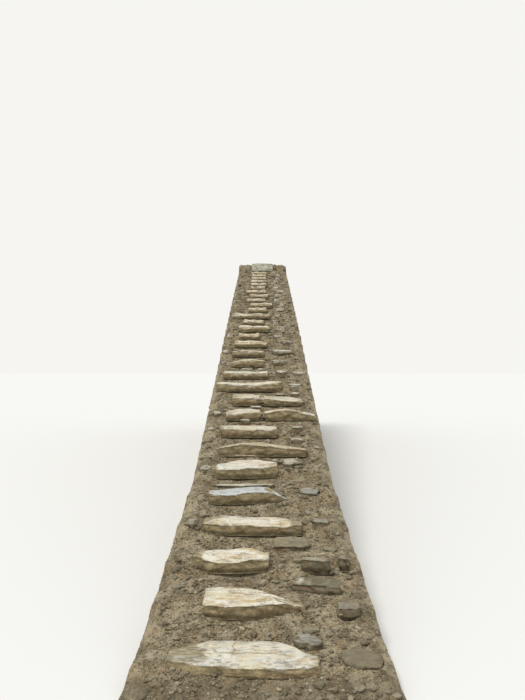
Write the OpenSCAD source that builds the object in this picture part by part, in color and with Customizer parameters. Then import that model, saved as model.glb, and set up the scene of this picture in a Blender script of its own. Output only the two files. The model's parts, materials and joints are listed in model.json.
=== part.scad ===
// Outdoor stone steps: a straight flight of rough natural slabs, each laid on a bed of
// rubble and packed earth, climbing a hillside towards +Y. Millimetres, +Z up.
// The origin is at ground level on the centreline, under the lowest slab.

/* [Flight] */
// Depth of one step, from nose to nose
going = 420; // [380:5:520]
// Width of the bed between its two upper edges
path_w = 1120; // [1000:10:1400]
// Rise of each step in the first bay, the lowest
bay_1_rise = 125; // [110:1:150]
// Rise of each step in the second bay
bay_2_rise = 118; // [110:1:150]
// Rise of each step in the third bay
bay_3_rise = 131; // [110:1:150]
// Rise of each step in the fourth bay
bay_4_rise = 124; // [110:1:150]
// Rise of each step in the fifth bay
bay_5_rise = 119; // [110:1:150]
// Rise of each step in the sixth bay, the highest
bay_6_rise = 114; // [110:1:150]
// How much further forward the lowest slab lies than an even going would put it
foot_forward = 56; // [0:2:100]

/* [Tread slabs] */
// Thickness of a tread slab
slab_t = 82; // [60:1:100]
// Depth of a typical tread slab, from its nose to its back edge
slab_d = 310; // [260:5:330]
// How far the roughest edge of a slab falls short of its outline
edge_rough = 9; // [0:1:20]
// How far a slab's underside is dressed back from its outline
under_cut = 16; // [5:1:30]
// Width of the worn arris round a slab's top
arris = 13; // [5:1:20]
// How far the middle of a slab's top stands above its edges
crown = 6; // [0:1:15]
// How far a typical slab's top falls from its back edge to its nose
top_fall = 16; // [0:1:30]

/* [Side stones] */
// Height of a side stone
stone_h = 95; // [60:1:120]
// How far a side stone's top stands above the earth packed round it
stone_proud = 22; // [5:1:40]

/* [Landing] */
// Rise from the highest tread slab to the block that ends the flight
landing_rise = 262; // [200:2:320]
// Thickness of the block that ends the flight
landing_t = 196; // [150:1:230]
// Depth of the block that ends the flight
landing_d = 400; // [340:5:480]

/* [Bed] */
// How far a slab's nose stands out past the earth under it
nosing = 38; // [15:1:70]
// Length of the slope that brings the earth up beside a slab
bank_run = 70; // [30:5:110]
// How far the packed earth stays below a slab's top
earth_drop = 12; // [5:1:25]
// Gap between a stone and the earth packed round it
joint = 5; // [2:1:12]
// How far the bed's sides lean outwards for each metre of depth
side_batter = 80; // [0:5:150]
// Bed left behind the block that ends the flight
end_margin = 60; // [20:5:150]
// Height of the footing under the lowest slab's seat
footing = 43; // [30:1:80]
// Length of the slope of packed earth in front of the lowest slab
toe_run = 120; // [60:5:200]
// How much of the lowest slab's front face that slope hides
toe_cover = 32; // [0:1:50]
// How much wider the bed is on each side at its foot than above its first bay
foot_flare = 110; // [80:5:180]

/* [Hidden] */
steps_per_bay = 5;
bay_rises = [bay_1_rise, bay_2_rise, bay_3_rise, bay_4_rise, bay_5_rise, bay_6_rise];
n_bays = len(bay_rises);
n_steps = n_bays * steps_per_bay;
half_w = path_w / 2;

// The lowest slab's nose lies this far before the origin, so that its seat is over it
nose_back = slab_d / 2;

earth = "#6a5844";
slab_colour = "#cdc2a6";
side_colour = "#958c7c";
landing_colour = "#a5a296";

// Each slab as laid: its step, its reach left and right as shares of half the bed's
// width, then values at five stations along it: its depth and the set-back of its front
// edge as shares of slab_d, and the height of its nose against its step's level as a
// share of slab_t. The last value is its fall as a share of top_fall.
near_slabs = [
    [1, -0.87, 0.52, [0.62, 1.04, 1.06, 1.08, 0.46], [0.23, 0.10, 0.07, 0, 0.12],
        [0.16, 0.08, 0.06, -0.02, 0.05], 0.6],
    [2, -0.62, 0.45, [0.94, 0.98, 0.90, 0.43, 0.34], [0.14, 0.07, 0.05, 0.17, 0.24],
        [0.06, 0.07, 0.02, 0.15, -0.38], 1.0],
    [3, -0.78, 0.10, [0.45, 0.78, 0.86, 0.90, 0.48], [0.20, 0.05, 0.02, 0.07, 0.16],
        [0.20, 0.05, 0, 0.08, 0.05], 0.8],
    [4, -0.74, 0.50, [0.68, 0.94, 0.81, 0.86, 0.45], [0.16, 0.04, 0.04, 0.01, 0.06],
        [0.08, 0.02, 0.03, -0.02, -0.04], 0.1],
    [5, -0.74, 0.37, [0.58, 0.83, 0.84, 0.72, 0.32], [0.08, 0.02, 0.07, 0.12, 0.22],
        [0.02, 0, 0.12, 0.18, -0.50], 0.1],
    [6, -0.69, 0.24, [0.40, 0.86, 1.04, 0.64, 0.30], [0.04, 0.01, 0.02, 0.06, 0.12],
        [-0.01, 0.05, 0.09, 0.19, 0.20], 1.7],
    [7, -0.70, 0.70, [0.38, 0.62, 0.66, 0.58, 0.34], [0.05, 0.08, 0.06, 0.01, 0.02],
        [-0.02, 0.27, 0.22, 0.01, -0.16], 0.1],
    [8, -0.72, 0.27, [0.50, 0.80, 0.95, 0.86, 0.45], [0.07, 0.02, 0, 0.01, 0.05],
        [0.07, 0.04, -0.02, -0.02, -0.04], 0.8],
    [9, -0.67, -0.02, [0.55, 0.90, 0.95, 0.90, 0.50], [0.06, 0.01, 0.02, 0.02, 0.06],
        [-0.18, -0.07, -0.01, 0.02, 0.02], 1.5],
    [9, 0.005, 0.96, [0.50, 0.62, 0.60, 0.52, 0.34], [0.05, 0.04, 0.07, 0.02, 0.04],
        [0, 0.22, 0.34, 0.02, -0.29], 0.3],
    [10, -0.59, -0.025, [0.50, 0.85, 0.95, 0.90, 0.50], [0.10, 0.03, 0.03, 0.02, 0.06],
        [0.18, 0.13, 0.12, 0.11, 0.13], 1.6],
    [10, 0, 0.77, [0.50, 0.80, 0.86, 0.72, 0.36], [0.05, 0.01, 0, 0, 0.05],
        [0.07, -0.06, -0.17, -0.24, -0.29], 1.2],
    [11, -0.94, 0.41, [0.40, 0.84, 0.95, 0.90, 0.50], [0.09, 0.03, 0.02, 0.03, 0.10],
        [0.16, 0.07, 0, 0.13, 0.33], 0.7],
    [12, -0.85, 0.14, [0.45, 0.88, 0.98, 0.86, 0.48], [0.07, 0.02, 0.03, 0.01, 0.06],
        [0, -0.02, -0.02, -0.10, -0.02], 0.8],
    [13, -0.74, 0.05, [0.50, 0.86, 0.92, 0.88, 0.50], [0.08, 0.02, 0.01, 0.02, 0.06],
        [-0.28, 0.05, 0.17, 0.17, 0.02], 0.8],
    [14, -0.73, 0.06, [0.52, 0.90, 0.96, 0.86, 0.45], [0.06, 0.01, 0.02, 0.01, 0.05],
        [-0.11, 0.04, 0.05, 0, -0.07], 0.6]
];

// The slabs further up show only their reach, so the rest is drawn from the step's number
far_reach = [
    [15, -0.71, 0.15], [16, -0.62, -0.06], [17, -0.65, 0.20], [18, -0.54, 0.06],
    [19, -0.90, 0.24], [20, -0.44, 0.15], [21, -0.42, 0.32], [22, -0.53, 0.13],
    [23, -0.46, 0.22], [24, -0.57, 0.16], [25, -0.44, 0.12], [26, -0.45, 0.18],
    [27, -0.47, 0.19], [28, -0.45, 0.16], [29, -0.44, 0.18], [30, -0.48, 0.20]
];

function vary(seed, n, low, high) = [for (v = rands(low, high, n, seed)) v];

function far_slab(r) = let (
        d = vary(r[0] * 7 + 3, 5, 0.80, 1.0),
        f = vary(r[0] * 7 + 4, 5, 0, 0.03),
        t = vary(r[0] * 7 + 5, 5, -0.05, 0.16),
        fall = vary(r[0] * 7 + 6, 1, 0.4, 1.2)[0])
    [r[0], r[1], r[2], [0.5 * d[0], d[1], d[2], d[3], 0.5 * d[4]],
     [f[0] + 0.03, f[1], f[2], f[3], f[4] + 0.03], t, fall];

slabs = concat(near_slabs, [for (r = far_reach) far_slab(r)]);

// Companion stones as laid: step, reach left and right as shares of half the bed's
// width, set-back of the front from the step's nose line and depth as shares of slab_d,
// height above the usual one as a share of stone_h, how much further back the left end
// lies than the right one as a share of slab_d, and fall to the front as a share of
// stone_h
side_stones = [
    [1, 0.69, 1.1, 0.13, 0.72, -0.12, 0.08, 0.1],
    [1, 0.27, 0.58, 0.74, 0.46, 0.12, 0.26, 0.1],
    [1, 0.36, 0.58, 1.24, 0.27, -0.1, -0.03, 0.1],
    [2, 0.72, 1.0, 0.04, 0.4, -0.15, -0.06, 0.05],
    [2, 0.29, 0.86, 0.76, 0.4, 0.36, 0.28, 0.4],
    [3, 0.4, 0.78, 0.02, 0.28, 0, 0.14, 0],
    [3, 0.82, 0.98, 0.05, 0.38, 0.11, 0.02, 0],
    [3, 0.1, 0.58, 0.8, 0.5, 0.2, -0.04, 0.4],
    [4, -0.95, -0.77, 0.16, 0.65, -0.13, -0.06, 0.1],
    [4, 0.58, 0.84, 0.23, 0.48, -0.06, 0.05, 0],
    [5, -0.72, 0.2, 0.87, 0.3, -0.03, 0, 0],
    [5, 0.48, 0.8, 0.23, 0.61, -0.11, 0.08, 0.1],
    [6, 0.28, 0.62, 0.55, 0.66, 0.1, -0.08, 0.2],
    [6, 0.09, 0.26, 0.87, 0.39, 0.13, 0.03, 0],
    [6, -0.95, -0.73, 0.19, 0.55, -0.15, -0.05, 0],
    [7, 0.76, 0.95, 0.19, 0.48, -0.15, 0.06, 0],
    [7, 0.42, 0.68, 1.02, 0.25, 0.13, 0, 0],
    [8, 0.46, 0.7, 0.17, 0.52, 0.06, -0.04, 0],
    [8, -0.43, -0.17, 1.02, 0.26, 0.36, 0.08, 0],
    [8, -0.94, -0.76, 0.23, 0.48, -0.11, -0.02, 0],
    [9, -0.92, -0.71, 0.19, 0.52, -0.11, 0.05, 0],
    [9, -0.26, 0.02, 1.01, 0.25, 0.17, -0.06, 0],
    [10, 0.82, 0.96, 0.23, 0.48, -0.06, 0.02, 0],
    [10, 0.52, 0.75, 0.97, 0.29, 0.21, 0.03, 0],
    [10, 0.22, 0.46, 1.01, 0.25, 0.08, -0.05, 0],
    [11, 0.48, 0.8, 0.23, 0.55, -0.08, 0.06, 0],
    [12, 0.25, 0.56, 0.13, 0.61, 0.06, 0, 0],
    [12, 0.61, 0.94, 0.19, 0.52, -0.04, -0.04, 0],
    [12, -0.52, -0.18, 1.04, 0.22, 0.2, 0.08, 0],
    [12, -0.15, 0.1, 1.04, 0.23, 0.05, -0.02, 0],
    [13, 0.16, 0.56, 0.14, 0.61, 0.04, 0.05, 0],
    [13, -0.96, -0.78, 0.19, 0.55, -0.11, -0.06, 0],
    [14, 0.16, 0.74, 0.14, 0.58, 0.04, 0.02, 0],
    [14, -0.95, -0.76, 0.19, 0.48, 0.02, 0.03, 0],
    [15, 0.42, 0.78, 0.16, 0.58, 0.04, -0.05, 0],
    [16, 0.22, 0.57, 0.16, 0.58, 0, 0.06, 0],
    [16, -0.94, -0.7, 0.19, 0.48, -0.04, 0, 0],
    [17, 0.34, 0.64, 0.19, 0.55, -0.06, -0.04, 0],
    [18, 0.2, 0.52, 0.16, 0.55, -0.08, 0.08, 0],
    [19, 0.3, 0.54, 0.16, 0.55, 0, -0.02, 0],
    [20, 0.36, 0.7, 0.14, 0.61, 0.04, 0.05, 0],
    [21, 0.5, 0.74, 0.16, 0.58, 0, -0.06, 0],
    [22, 0.3, 0.62, 0.19, 0.55, -0.06, 0.02, 0],
    [23, 0.34, 0.68, 0.16, 0.61, 0.02, 0.03, 0],
    [24, 0.42, 0.77, 0.15, 0.61, 0.04, -0.05, 0],
    [25, 0.3, 0.6, 0.19, 0.55, -0.04, 0.06, 0],
    [26, 0.34, 0.62, 0.19, 0.52, -0.06, 0, 0],
    [27, 0.38, 0.66, 0.19, 0.52, -0.04, -0.04, 0],
    [28, 0.44, 0.72, 0.16, 0.58, 0.02, 0.08, 0],
    [29, 0.48, 0.74, 0.16, 0.58, 0.02, -0.02, 0],
    [30, 0.42, 0.72, 0.19, 0.55, -0.04, 0.05, 0]
];

// Heights and places along the flight. Step 1 is the lowest.
function bay_of(i) = floor((i - 1) / steps_per_bay);
function rise_of(i) = bay_rises[min(bay_of(i), n_bays - 1)];
function seat(i) = i <= 1 ? footing : seat(i - 1) + rise_of(i);
function top(i) = seat(i) + slab_t;
function nose(i) = (i - 1) * going - nose_back - (i <= 1 ? foot_forward : 0);
function riser(i) = nose(i) + nosing;
function earth_level(i) = top(i) - earth_drop;
earth_back = slab_d * 1.07;

// A stone is a closed form on stations along its width. Its outline runs along the front
// from left to right and back along the rear.
near_stations = [0, 0.06, 0.15, 0.25, 0.38, 0.5, 0.62, 0.75, 0.85, 0.94, 1];
far_stations = [0, 0.08, 0.25, 0.5, 0.75, 0.92, 1];
stone_stations = [0, 0.18, 0.5, 0.82, 1];
last_near = near_slabs[len(near_slabs) - 1][0];
function slab_stations(i) = i <= last_near ? near_stations : far_stations;

// Value at share u of the width, on a smooth curve through evenly spaced values
function along(u, values) = let (
        last = len(values) - 1,
        k = min(floor(u * last), last - 1),
        t = u * last - k,
        a = values[max(k - 1, 0)], b = values[k], c = values[k + 1], d = values[min(k + 2, last)])
    b + t / 2 * (c - a + t * (2 * a - 5 * b + 4 * c - d + t * (3 * (b - c) + d - a)));

// shape = [left, right, depth at five stations, set-back at five stations]
function stone_outline(shape, st) = let (
        n = len(st), l = shape[0], w = shape[1] - shape[0])
    [for (k = [0:2 * n - 1]) let (u = st[k < n ? k : 2 * n - 1 - k])
        [l + w * u, along(u, shape[k < n ? 3 : 2])]];

// The line along the middle of the stone that its edges are drawn in towards
function stone_spine(shape, st) = let (
        l = shape[0], w = shape[1] - shape[0])
    [for (u = st) let (v = 0.5 + (u - 0.5) * 0.72)
        [l + w * v, (along(u, shape[2]) + along(u, shape[3])) / 2]];

function drawn_in(p, towards, by) = p + by * (towards - p) / norm(towards - p);

function widened(shape, st, by) = let (
        o = stone_outline(shape, st), s = stone_spine(shape, st), n = len(st))
    [for (k = [0:2 * n - 1]) drawn_in(o[k], s[k < n ? k : 2 * n - 1 - k], -by)];

// tops = height of the nose at five stations, above the flat underside at z = 0;
// fall = how much higher the back edge is than the nose
module rough_stone(shape, tops, fall, st, seed) {
    n = len(st);
    m = 2 * n;
    o = stone_outline(shape, st);
    s = stone_spine(shape, st);
    rough = vary(seed, 3 * m, 0, edge_rough);
    lift = vary(seed + 1, n, 0.4, 1.2);
    function station(k) = k < n ? k : m - 1 - k;
    function height(k) = along(st[station(k)], tops) + (k < n ? 0 : fall);
    function ring(r, by, share, drop) = [for (k = [0:m - 1])
        let (p = drawn_in(o[k], s[station(k)], by + rough[r * m + k]))
        [p[0], p[1], share * height(k) - drop]];
    under = [for (k = [0:m - 1]) let (p = drawn_in(o[k], s[station(k)], under_cut)) [p[0], p[1], 0]];
    points = concat(
        under,
        ring(0, 0, 0.45, 0),
        ring(1, 2, 1, arris),
        ring(2, arris, 1, 0),
        [for (k = [0:n - 1]) [s[k][0], s[k][1], height(k) + fall / 2 + crown * lift[k]]]);
    bands = [for (b = [0:2]) for (k = [0:m - 1]) let (a = b * m + k, c = b * m + (k + 1) % m)
        each [[a, a + m, c + m], [a, c + m, c]]];
    spine = 4 * m;
    edge = 3 * m;
    front = [for (k = [0:n - 2])
        each [[edge + k, spine + k, spine + k + 1], [edge + k, spine + k + 1, edge + k + 1]]];
    rear = [for (k = [0:n - 2])
        each [[edge + m - 1 - k, spine + k + 1, spine + k], [edge + m - 1 - k, edge + m - 2 - k, spine + k + 1]]];
    ends = [[edge, edge + m - 1, spine], [edge + n - 1, spine + n - 1, edge + n]];
    polyhedron(points, concat([[for (k = [0:m - 1]) k]], bands, front, rear, ends), convexity = 4);
}

function slab_shape(s) = [s[1] * half_w, s[2] * half_w, s[3] * slab_d, s[4] * slab_d];

module slab(s) {
    translate([0, nose(s[0]), seat(s[0])])
        rough_stone(slab_shape(s), [for (t = s[5]) (1 + t) * slab_t], s[6] * top_fall,
                slab_stations(s[0]), 100 + s[0] * 3 + s[1]);
}

module tread(i) {
    color(slab_colour)
        for (s = slabs) if (s[0] == i) slab(s);
}

// A side stone's shape: rounded ends on the given front, depth and reach, turned a little
// on plan
function side_shape(s) = let (
        f = s[3] * slab_d, b = f + s[4] * slab_d, e = 0.22 * (b - f),
        inset = [e, e / 4, 0, e / 3, e],
        turn = [for (k = [0:4]) s[6] * slab_d * (0.5 - k / 4)])
    [s[1] * half_w, s[2] * half_w,
     [for (k = [0:4]) b - inset[k] + turn[k]],
     [for (k = [0:4]) f + inset[k] + turn[k]]];

// Earth level at a set-back from a step's nose line
earth_front = nosing + bank_run;
function ground_at(i, back) = back <= earth_back
    ? earth_level(i) + top_fall * max(0, (back - earth_front) / (earth_back - earth_front))
    : earth_level(i) + top_fall + (seat(i + 1) - earth_level(i) - top_fall)
        * (back - earth_back) / (riser(i + 1) - nose(i) - earth_back);
function side_top(s) = ground_at(s[0], (s[3] + s[4] / 2) * slab_d) + stone_proud + s[5] * stone_h;
function side_seat(s) = side_top(s) - stone_h;

// Height of a side stone at five stations along it, as shares of stone_h
side_tops = [0.93, 0.98, 1, 0.96, 0.91];

module side_stone(s, seed) {
    translate([0, nose(s[0]), side_seat(s)])
        rough_stone(side_shape(s), [for (t = side_tops) (t - s[7] / 2) * stone_h],
                s[7] * stone_h, stone_stations, seed);
}

module side_stones_of(bay) {
    color(side_colour)
        for (k = [0:len(side_stones) - 1])
            if (bay_of(side_stones[k][0]) == bay) side_stone(side_stones[k], 300 + 2 * k);
}

// The block that ends the flight
landing_top = top(n_steps) + landing_rise;
landing_seat = landing_top - landing_t;
landing_shape = [-0.47 * half_w, 0.46 * half_w,
    landing_d * [0.72, 0.96, 1, 0.94, 0.66], landing_d * [0.04, 0.01, 0, 0.02, 0.05]];

module landing_slab() {
    color(landing_colour)
        translate([0, nose(n_steps + 1), landing_seat])
            rough_stone(landing_shape, landing_t * [0.97, 1, 1, 0.98, 0.95], 0, far_stations, 700);
}

// Front of a bed bay seen along +X: a riser, or the toe in front of the lowest slab,
// which starts with a steep edge
toe_edge = 0.2;
function bed_front(i) = i > 1
    ? [[riser(i), 0], [riser(i), seat(i)]]
    : [[nose(i) - toe_run, 0],
       [nose(i) - (1 - toe_edge) * toe_run, footing / 2],
       [nose(i), seat(i) + toe_cover]];

// Side of a bed bay seen along +X: stepped above, flat below
function bed_profile(first, last, back_y) = concat(
    bed_front(first),
    [for (i = [first:last]) each [
        if (i > first) [riser(i), seat(i)],
        [riser(i) + bank_run, earth_level(i)],
        [nose(i) + earth_back, earth_level(i) + top_fall]]],
    [[back_y, 0]]);

bed_end = nose(n_steps + 1) + landing_d + end_margin;

// What is cut away on one side (1 is right, -1 is left) to make it lean outwards evenly
// below the flight's edge. The cuts of the lowest bay also draw apart towards its foot.
flight_slope = (top(n_steps) - top(1)) / (nose(n_steps) - nose(1));
flare_end = riser(steps_per_bay + 1);
module side_cut(side, flare) {
    lean = side_batter / 1000;
    normal = [1, flare / (flare_end - nose(1)) - lean * flight_slope, lean];
    reach = 2 * bed_end;
    mirror([side < 0 ? 1 : 0, 0, 0])
        translate([half_w, flare_end, top(1) + flight_slope * (flare_end - nose(1))])
            rotate(a = acos(1 / norm(normal)), v = cross([1, 0, 0], normal))
                translate([0, -reach, -reach]) cube([2 * path_w, 2 * reach, 2 * reach]);
}

module recess(shape, st, y, z) {
    translate([0, y, z]) linear_extrude(height = 3 * going) polygon(widened(shape, st, joint));
}

module bed(bay) {
    first = bay * steps_per_bay + 1;
    last = first + steps_per_bay - 1;
    final = bay == n_bays - 1;
    back_y = final ? bed_end : riser(last + 1);
    head_z = final ? landing_top - earth_drop : seat(last + 1);
    profile = bed_profile(first, last, back_y);
    n = len(profile);
    tail = final
        ? [[riser(last + 1), landing_seat], [riser(last + 1) + bank_run, head_z], [back_y, head_z], [back_y, 0]]
        : [[back_y, head_z], [back_y, 0]];
    outline = concat([for (k = [0:n - 2]) profile[k]], tail);
    color(earth)
    difference() {
        rotate([90, 0, 90]) translate([0, 0, -2 * path_w])
            linear_extrude(height = 4 * path_w) polygon(outline);
        for (side = [1, -1]) side_cut(side, first > 1 ? 0 : foot_flare);
        for (s = slabs) if (bay_of(s[0]) == bay)
            recess(slab_shape(s), slab_stations(s[0]), nose(s[0]), seat(s[0]));
        for (s = side_stones) if (bay_of(s[0]) == bay)
            recess(side_shape(s), stone_stations, nose(s[0]), side_seat(s));
        if (final) recess(landing_shape, far_stations, nose(n_steps + 1), landing_seat);
    }
}

function two_digits(i) = i < 10 ? str("0", i) : str(i);
function tread_name(i) = str("tread_", two_digits(i));
function bed_name(b) = str("bed_", b + 1);
function side_name(b) = str("side_stones_", b + 1);

for (i = [1:n_steps]) tread(i);
for (b = [0:n_bays - 1]) side_stones_of(b);
landing_slab();
for (b = [0:n_bays - 1]) bed(b);
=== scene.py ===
"""Outdoor stone steps: the looks of the flight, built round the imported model.
Metres, +Z up, and the flight climbs towards +Y."""

import json
import math
import random

import bmesh
import bpy
import numpy as np
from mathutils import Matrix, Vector, kdtree, noise
from mathutils.bvhtree import BVHTree

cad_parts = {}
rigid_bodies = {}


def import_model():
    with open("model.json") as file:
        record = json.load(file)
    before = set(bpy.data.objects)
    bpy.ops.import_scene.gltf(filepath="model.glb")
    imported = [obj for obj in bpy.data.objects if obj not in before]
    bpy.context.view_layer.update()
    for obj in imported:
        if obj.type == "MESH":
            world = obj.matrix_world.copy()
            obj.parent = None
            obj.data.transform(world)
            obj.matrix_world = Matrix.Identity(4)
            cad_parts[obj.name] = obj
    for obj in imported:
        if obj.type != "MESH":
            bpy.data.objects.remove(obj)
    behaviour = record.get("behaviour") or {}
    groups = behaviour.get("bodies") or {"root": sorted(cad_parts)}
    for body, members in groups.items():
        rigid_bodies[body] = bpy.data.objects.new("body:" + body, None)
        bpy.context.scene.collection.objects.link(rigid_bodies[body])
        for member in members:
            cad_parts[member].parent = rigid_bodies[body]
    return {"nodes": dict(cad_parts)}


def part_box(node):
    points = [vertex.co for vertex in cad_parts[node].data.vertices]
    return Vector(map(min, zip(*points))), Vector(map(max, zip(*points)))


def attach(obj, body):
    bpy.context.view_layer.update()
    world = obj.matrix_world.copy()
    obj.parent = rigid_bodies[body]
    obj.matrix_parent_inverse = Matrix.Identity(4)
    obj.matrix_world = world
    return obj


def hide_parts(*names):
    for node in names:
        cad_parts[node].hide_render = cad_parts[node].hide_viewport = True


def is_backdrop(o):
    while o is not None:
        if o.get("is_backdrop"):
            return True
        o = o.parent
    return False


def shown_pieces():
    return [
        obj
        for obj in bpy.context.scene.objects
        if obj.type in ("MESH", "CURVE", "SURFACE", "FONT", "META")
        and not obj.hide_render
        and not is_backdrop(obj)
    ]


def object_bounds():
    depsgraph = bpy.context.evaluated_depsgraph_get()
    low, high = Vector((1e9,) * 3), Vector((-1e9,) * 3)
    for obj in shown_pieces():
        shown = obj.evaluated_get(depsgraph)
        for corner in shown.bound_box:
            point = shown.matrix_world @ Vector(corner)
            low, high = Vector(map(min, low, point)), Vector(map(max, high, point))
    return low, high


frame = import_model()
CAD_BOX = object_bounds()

bl_info = {
    "name": "Outdoor stone steps",
    "version": (1, 0, 0),
    "blender": (4, 5, 0),
    "location": "3D View > Sidebar > Stone steps",
    "description": "Builds the slabs, packing stones, earth and rubble walls of a hillside flight",
    "category": "Object",
}

NODES = frame["nodes"]
BEDS = sorted(name for name in NODES if name.startswith("bed_"))
N_BAYS = len(BEDS)
TREADS = sorted(name for name in NODES if name.startswith("tread_"))
STEPS_PER_BAY = len(TREADS) // N_BAYS
DOWN = Vector((0, 0, -1))
# Height above the flight from which rays are cast down onto it
SKY = 9
# Height of the photograph in pixels
FRAME_HIGH = 700
# What a stone's mesh tells its material at each point
STONE_LAYERS = ("tone", "dull", "worn", "dirt", "rise", "seam")

# Slabs with a look of their own: how far each is blue-grey, how far it is dull tan, and
# the shares of its length at its left and its right end that are weathered dark
SLAB_LOOKS = {
    1: (0.2, 0.1, 0.19, 0.03),
    2: (0, 0.1, 0, 0.08),
    3: (0, 0, 0.05, 0),
    4: (0.12, 0.1, 0.1, 0.14),
    5: (1.1, -0.1, 0, 0),
    6: (0.2, 0, 0, 0),
    7: (0.1, 0.7, 0, 0),
    8: (0.1, 0.25, 0, 0),
    9: (0.15, 0.35, 0, 0),
    10: (0.2, 0.35, 0, 0),
    11: (0.1, 0.15, 0, 0),
    12: (0.3, 0.35, 0, 0),
    13: (0.1, 0.5, 0, 0),
    14: (0.1, 0.65, 0, 0),
}
# Where along X a crack runs across a slab's top
CROSS_CRACKS = {1: -0.15, 3: 0.02, 11: -0.2}
# The same four values for the packing stones that show most, by where each one lies
STONE_LOOKS = {
    (0.5, -0.06): (0.15, 1.6, 0, 0.1),
    (0.24, 0.1): (0.5, 0.3, 0, 0.15),
    (0.26, 0.22): (0.25, 0.5, 0, 0),
    (0.48, 0.33): (0.3, 0.9, 0, 0),
    (0.32, 0.56): (0.25, 0.25, 0, 0.62),
    (0.33, 0.74): (0.2, 0.7, 0, 0.15),
    (0.5, 0.76): (0.1, 0.5, 0, 0),
    (0.19, 1.01): (0.1, 0.7, 0, 0.1),
    (-0.48, 1.26): (0.35, 0.7, 0, 0),
    (-0.15, 1.84): (0.2, -0.1, 0, 0),
    (0.25, 2.22): (0.1, 0.25, 0, 0.15),
}
# A packing stone is one of those if it lies this near
SAME_STONE = 0.08
# Shares of a stone's reach at which its corners are cut flat, for those stones and for the others
KNOWN_CORNERS = (0.86, 0.97)
OTHER_CORNERS = (0.7, 0.88)
HEAD_LOOK = (0.4, 0.1, 0, 0)
# From this bay on the meshes are at their coarsest and the wear is that of FAR_BRINK and FAR_BAND
FAR_BAY = 3
# Slopes between which a stone's edge turns worn, near the foot and far up, and how far down from
# its highest point a far stone's front is worn too
NEAR_BRINK = (0.4, 0.72)
FAR_BRINK = (0.0, 0.2)
FAR_BAND = 0.052
# Half width of the flight between its upper edges, and a line near its left one that no stone reaches
TOP_HALF = 0.56
CLEAR_EDGE = -0.5545
# Half width of the earth between the lips over the facing stones
EARTH_HALF = 0.552
# How far up and down from the earth's level a stone over it is looked for
PROBE = 0.3
# How far in from its side the earth begins to drop towards it, and how far it drops
SHOULDER = 0.075
SIDE_DROP = 0.03
# Least thickness of the earth, and its least gap to a stone that lies on it
THIN = 0.004
# Rates of the noises that make up the earth's lumps, and their shares
EARTH_LUMPS = ((5, 1), (13, 0.5), (34, 0.32), (66, 0.24))
# Earth over the top stones of the head
HEAD_COVER = 0.06
# How far in from the facing's face each ring of the earth's rim lies: lip, fold and ground
RIM_INSETS = (0.006, 0.035, 0.035)
# Share of its height that each ring keeps at the foot
TOE_HEIGHTS = (0.65, 0.4, 0.0)
# How far the earth of the foot stops short of the bed's front, so that it can run out
# unevenly, and how many stones lie along that edge
TOE = 0.022
TOE_STONES = 60
# Where along X the joint between the two slabs of a step lies, and how high its wedge stones lie
TWIN_JOINTS = {9: -0.004, 10: -0.007}
WEDGE_HEIGHTS = (0.012, 0.04, 0.06)
WEDGE_DEPTH = 0.055
# Smallest face of a facing stone, in square metres
SMALLEST_FACE = 0.0018
# How far the facing stones' rims lie behind the face of the wall
FACE_BACK = 0.006
# Two points of a CAD mesh that lie nearer than this are one
MERGE = 1e-5


def srgb(code):
    """Linear colour of an sRGB hex code such as "c8b890"."""
    channels = [int(code[k:k + 2], 16) / 255 for k in (0, 2, 4)]
    return [c / 12.92 if c <= 0.04045 else ((c + 0.055) / 1.055) ** 2.4 for c in channels]


def shade(colour, share):
    return [share * channel for channel in colour]


def smooth(low, high, value):
    """0 below low, 1 above high, and a smooth climb between them."""
    t = min(1.0, max(0.0, (value - low) / (high - low)))
    return t * t * (3 - 2 * t)


def colour(name, code, description):
    return bpy.props.FloatVectorProperty(
        name=name, description=description, subtype="COLOR", default=srgb(code), min=0, max=1)


def length(name, default, description):
    return bpy.props.FloatProperty(
        name=name, description=description, default=default, min=0.0, unit="LENGTH")


def angle(name, degrees, description):
    return bpy.props.FloatProperty(
        name=name, description=description, default=math.radians(degrees), subtype="ANGLE")


def number(name, default, description):
    return bpy.props.FloatProperty(name=name, description=description, default=default)


def count(name, default, description):
    return bpy.props.IntProperty(name=name, description=description, default=default, min=0)


class SlabSettings(bpy.types.PropertyGroup):
    near_step: length("Near mesh step", 0.0055, "Mesh step of the lowest slabs")
    far_step: length("Far mesh step", 0.014, "Mesh step of the highest slabs")
    layer: length("Bedding layer", 0.019, "Thickness of the layers that a broken edge shows")
    ledge: length("Ledge", 0.008, "How far one broken layer stands back from the next")
    chip: length("Chip", 0.010, "Depth of the chips along an edge")
    facet: length("Facet", 0.013, "Relief of the flat facets of a broken edge")
    facet_wide: length("Facet width", 0.055, "Usual width of such a facet")
    flake: length("Flake", 0.0024, "Thickness of the flakes missing from a top")
    wave: length("Wave", 0.005, "Height of the slow waves of a top")
    cream: colour("Cream", "e1d6b5", "Sound face of a slab")
    pale: colour("Pale", "f0e9d5", "Foot-worn places")
    warm: colour("Warm", "f8e6c0", "Warmer slabs")
    tan: colour("Tan", "ab9a76", "Duller slabs")
    ochre: colour("Ochre", "bf9f68", "Rust-coloured stains")
    blue_grey: colour("Blue grey", "c6c9c4", "Slabs of the greyer bed")
    edge: colour("Broken edge", "a2926f", "Weathered edge below the arris")
    umber: colour("Umber", "77695a", "Purplish flecks and arris")
    damp: colour("Damp", "574d38", "Stain just above the earth and in cracks")
    rust: colour("Rust", "966444", "Thin red bedding line")
    soil: colour("Soil", "8f8469", "Earth trodden onto the tips and the back")


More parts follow.
